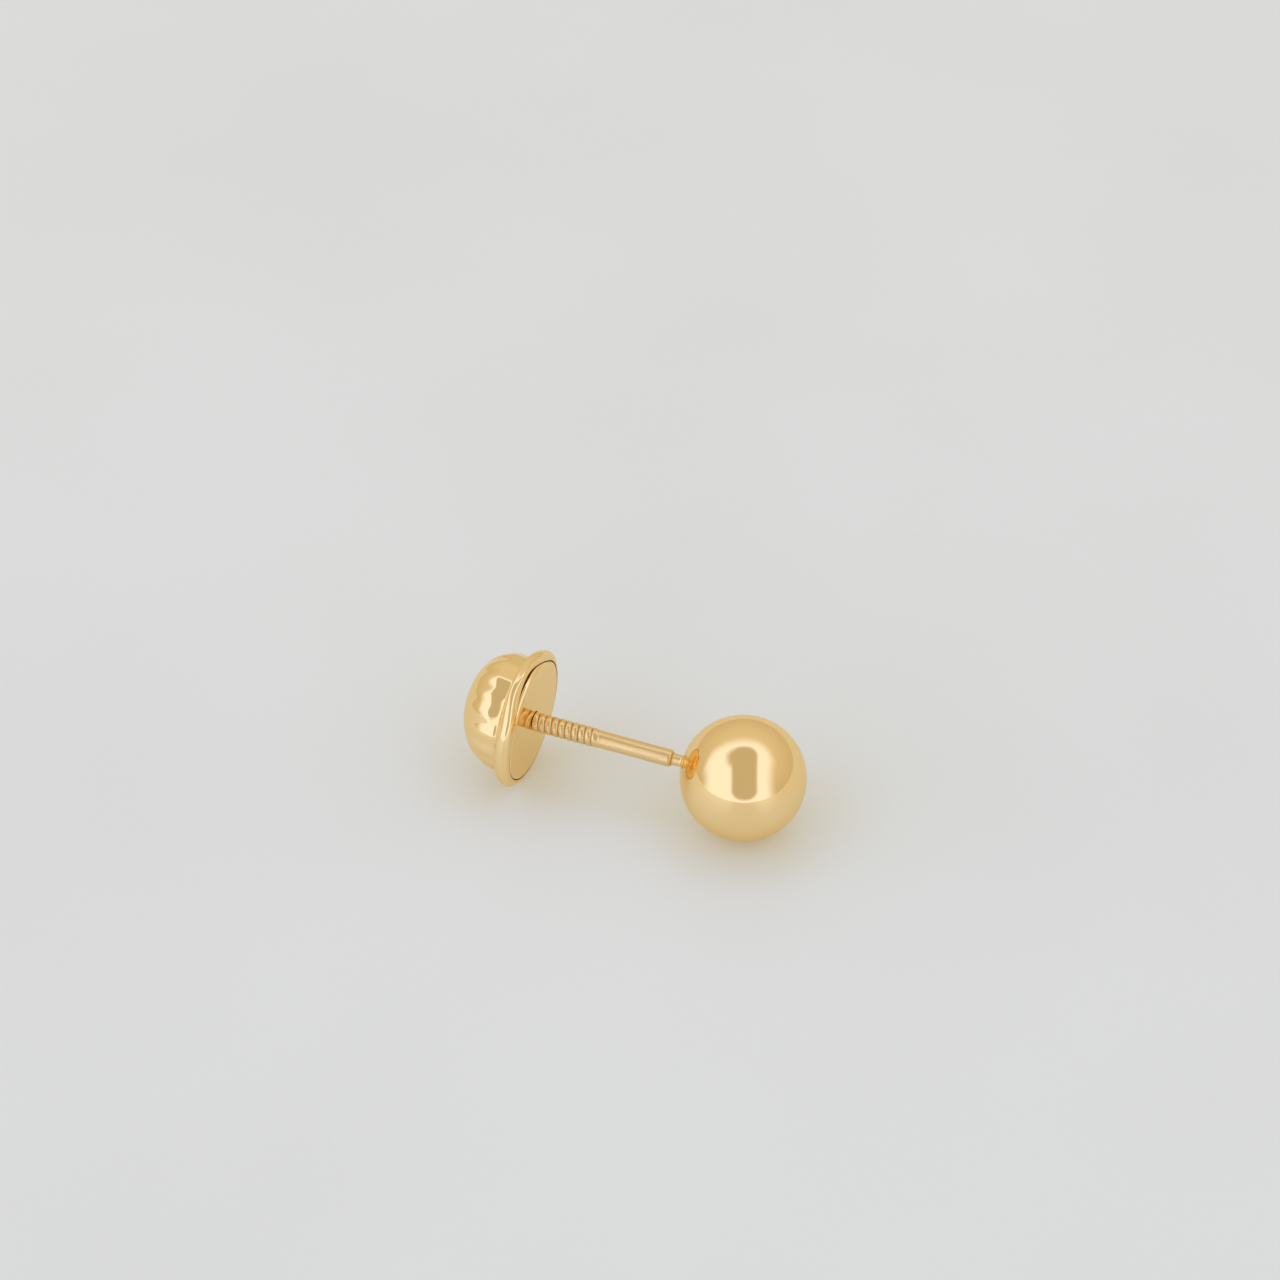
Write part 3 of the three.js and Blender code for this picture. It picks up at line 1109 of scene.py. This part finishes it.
@dataclass(frozen=True)
class Studio:
    """The surroundings: a warm room, a large soft window of light, and a card before it.

    Attributes:
        room: the room's light near the ground.
        upper: the room's light overhead.
        window: the window's light.
        card: the card's light.
        glow: where the window is.
        shade: where the card is.
        arm: a part of the card that stands out to its left.
        overhead: the sines of height between which the room's light changes.
    """

    room: Color = (0.62, 0.56, 0.44)
    upper: Color = (0.76, 0.71, 0.60)
    window: Color = (1.06, 1.16, 1.46)
    card: Color = (0.59, 0.55, 0.45)
    glow: SoftPanel = SoftPanel((-12.0, 60.0), (44.0, 72.0), 34.0, 13.0)
    shade: SoftPanel = SoftPanel((0.0, 22.5), (54.0, 49.0), 18.0, 4.0)
    arm: SoftPanel = SoftPanel((-13.5, 15.0), (82.0, 18.0), 15.0, 8.0)
    overhead: tuple[float, float] = (-0.2, 0.9)

    def mask(
        self, sketch: NodeSketch, across: Socket, height: Socket, panel: SoftPanel
    ) -> Socket:
        """A panel's mask, from the signed distance to a rounded rectangle.

        With q = |p - middle| - half + corner, the distance is
        length(max(q, 0)) + min(max(q_x, q_y), 0) - corner.

        Args:
            sketch: the world's nodes.
            across: the direction's angle to the right.
            height: the direction's angle up.
            panel: the panel.

        Returns:
            1 inside the panel and 0 outside.
        """
        parts = []
        for angle, (middle, half) in ((across, panel.across), (height, panel.height)):
            away = sketch.math("ABSOLUTE", sketch.math("SUBTRACT", angle, middle))
            parts.append(sketch.math("SUBTRACT", away, half - panel.corner))
        outside = [sketch.math("MAXIMUM", part, 0.0) for part in parts]
        squares = sketch.math("MULTIPLY", outside[1], outside[1])
        squares = sketch.math("MULTIPLY_ADD", outside[0], outside[0], squares)
        inside = sketch.math("MINIMUM", sketch.math("MAXIMUM", *parts), 0.0)
        distance = sketch.math("ADD", sketch.math("SQRT", squares), inside)
        distance = sketch.math("SUBTRACT", distance, panel.corner)
        return sketch.math("SUBTRACT", 1.0, sketch.rise(distance, -panel.blur, panel.blur))

    def build(self, view: View) -> bpy.types.World:
        """Makes the world.

        The angle to the right is asin(d . right), and the angle up is atan2(d . up, d . front),
        with front the level direction from the earring towards the camera.

        Args:
            view: the camera that the panels are set out from.

        Returns:
            The world, which is the scene's own.
        """
        world = bpy.data.worlds.new("studio")
        world.use_nodes = True
        world.node_tree.nodes.clear()
        sketch = NodeSketch(world.node_tree)
        way = sketch.add("ShaderNodeTexCoord").outputs["Generated"]
        right = view.axes()[0]
        front = right.cross(Vector((0.0, 0.0, 1.0)))

        def part(direction: Vector) -> Socket:
            """How far the way looked at goes in a direction, from -1 to 1."""
            values = {0: way, 1: tuple(direction)}
            node = sketch.add("ShaderNodeVectorMath", values, operation="DOT_PRODUCT")
            return node.outputs["Value"]

        level, rise = part(front), part(Vector((0.0, 0.0, 1.0)))
        across = sketch.math("DEGREES", sketch.math("ARCSINE", part(right)))
        height = sketch.math("DEGREES", sketch.math("ARCTAN2", rise, level))
        color = sketch.between(sketch.rise(rise, *self.overhead), self.room, self.upper)
        color = sketch.between(self.mask(sketch, across, height, self.glow), color, self.window)
        shaded = [self.mask(sketch, across, height, panel) for panel in (self.shade, self.arm)]
        color = sketch.between(sketch.math("MAXIMUM", *shaded), color, self.card)
        light = sketch.add("ShaderNodeBackground", {"Color": color, "Strength": 1.0})
        sketch.show(light, "ShaderNodeOutputWorld")
        bpy.context.scene.world = world
        return world


def make_floor(height: float, half: float = 1.5) -> bpy.types.Object:
    """Makes the surface that the earring lies on.

    Args:
        height: its height, in metres.
        half: half its width, in metres.

    Returns:
        The floor, which is part of the stage.
    """
    mesh = bpy.data.meshes.new("floor")
    square = ((-half, -half), (half, -half), (half, half), (-half, half))
    mesh.from_pydata([(x, y, height) for x, y in square], [], [(0, 1, 2, 3)])
    floor = bpy.data.objects.new("floor", mesh)
    bpy.context.scene.collection.objects.link(floor)
    floor.data.materials.append(SurfaceFinish().build())
    floor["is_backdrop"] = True
    return floor


@dataclass
class Earring:
    """The earring: its pieces, their finishes, and the bodies they ride on.

    Attributes:
        post: the frame of the post.
        toward_viewer: the direction that the back's lean is about.
        back_lean: how far the back leans on the post, in degrees.
        back_lift: how much higher it sits than the middle of the post, in millimetres.
    """

    post: PostFrame
    toward_viewer: Vector
    stud: Stud = field(default_factory=Stud)
    back: ScrewBack = field(default_factory=ScrewBack)
    back_lean: float = -1.8
    back_lift: float = 0.03

    def dress(self) -> None:
        """Makes every piece, gives it its finish and seats it on its body."""
        groups = {
            "painted_crevice_shade": painted_crevice_shade_group(),
            "handling_marks": handling_marks_group(),
            "soft_unevenness": soft_unevenness_group(),
            "draw_lines": draw_lines_group(),
        }
        ball_gold = GoldFinish("ball_gold", waves_per_mm=0.5, wave_height=0.006)
        # The post's gold is a little darker than the ball's: painted shade for its duller look.
        post_gold = GoldFinish(
            "post_gold",
            color=(0.89, 0.625, 0.295),
            roughness=0.19,
            wave_height=0.002,
            line_height=0.016,
        )
        cap_gold = GoldFinish("cap_gold", roughness=0.07, waves_per_mm=1.0, wave_height=0.004)
        plate_gold = GoldFinish("plate_gold", roughness=0.06, waves_per_mm=0.9, wave_height=0.006)
        bush_gold = GoldFinish("bush_gold", color=(0.96, 0.69, 0.34), roughness=0.2)
        crooked = self.post.leaned(self.back_lean, self.toward_viewer).lifted(self.back_lift)
        made = (
            (self.stud.ball(self.post), ball_gold, Body.STUD, "ball_post"),
            (self.stud.post(self.post), post_gold, Body.STUD, "ball_post"),
            (self.back.cap(crooked), cap_gold, Body.BACK, "back_cap"),
            (self.back.plate(crooked), plate_gold, Body.BACK, "back_plate"),
        )
        for piece, finish, body, node in made:
            piece.data.materials.append(finish.build(groups))
            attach(piece, body.value)
            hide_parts(node)
        bush = frame["nodes"]["back_bush"]
        bush.data.materials.clear()
        bush.data.materials.append(bush_gold.build(groups))

    def ball_centre(self) -> Vector:
        """The ball's centre, in metres."""
        centre, on_axis = np.array(self.stud.ball_centre), np.array(0.0)
        return Vector(self.post.place(centre, on_axis, on_axis))


def main() -> None:
    """Builds the earring, the surface, the light and the camera."""
    logging.basicConfig(level=logging.INFO, format="%(name)s: %(message)s")
    view = View()
    earring = Earring(PostFrame.from_joints(frame["joints"], "back_turn"), -view.axes()[2])
    earring.dress()
    view.build(earring.ball_centre())
    Studio().build(view)
    make_floor(float(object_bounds()[0][2]))
    bpy.context.scene.view_settings.view_transform = "Standard"


if __name__ == "__main__":
    main()
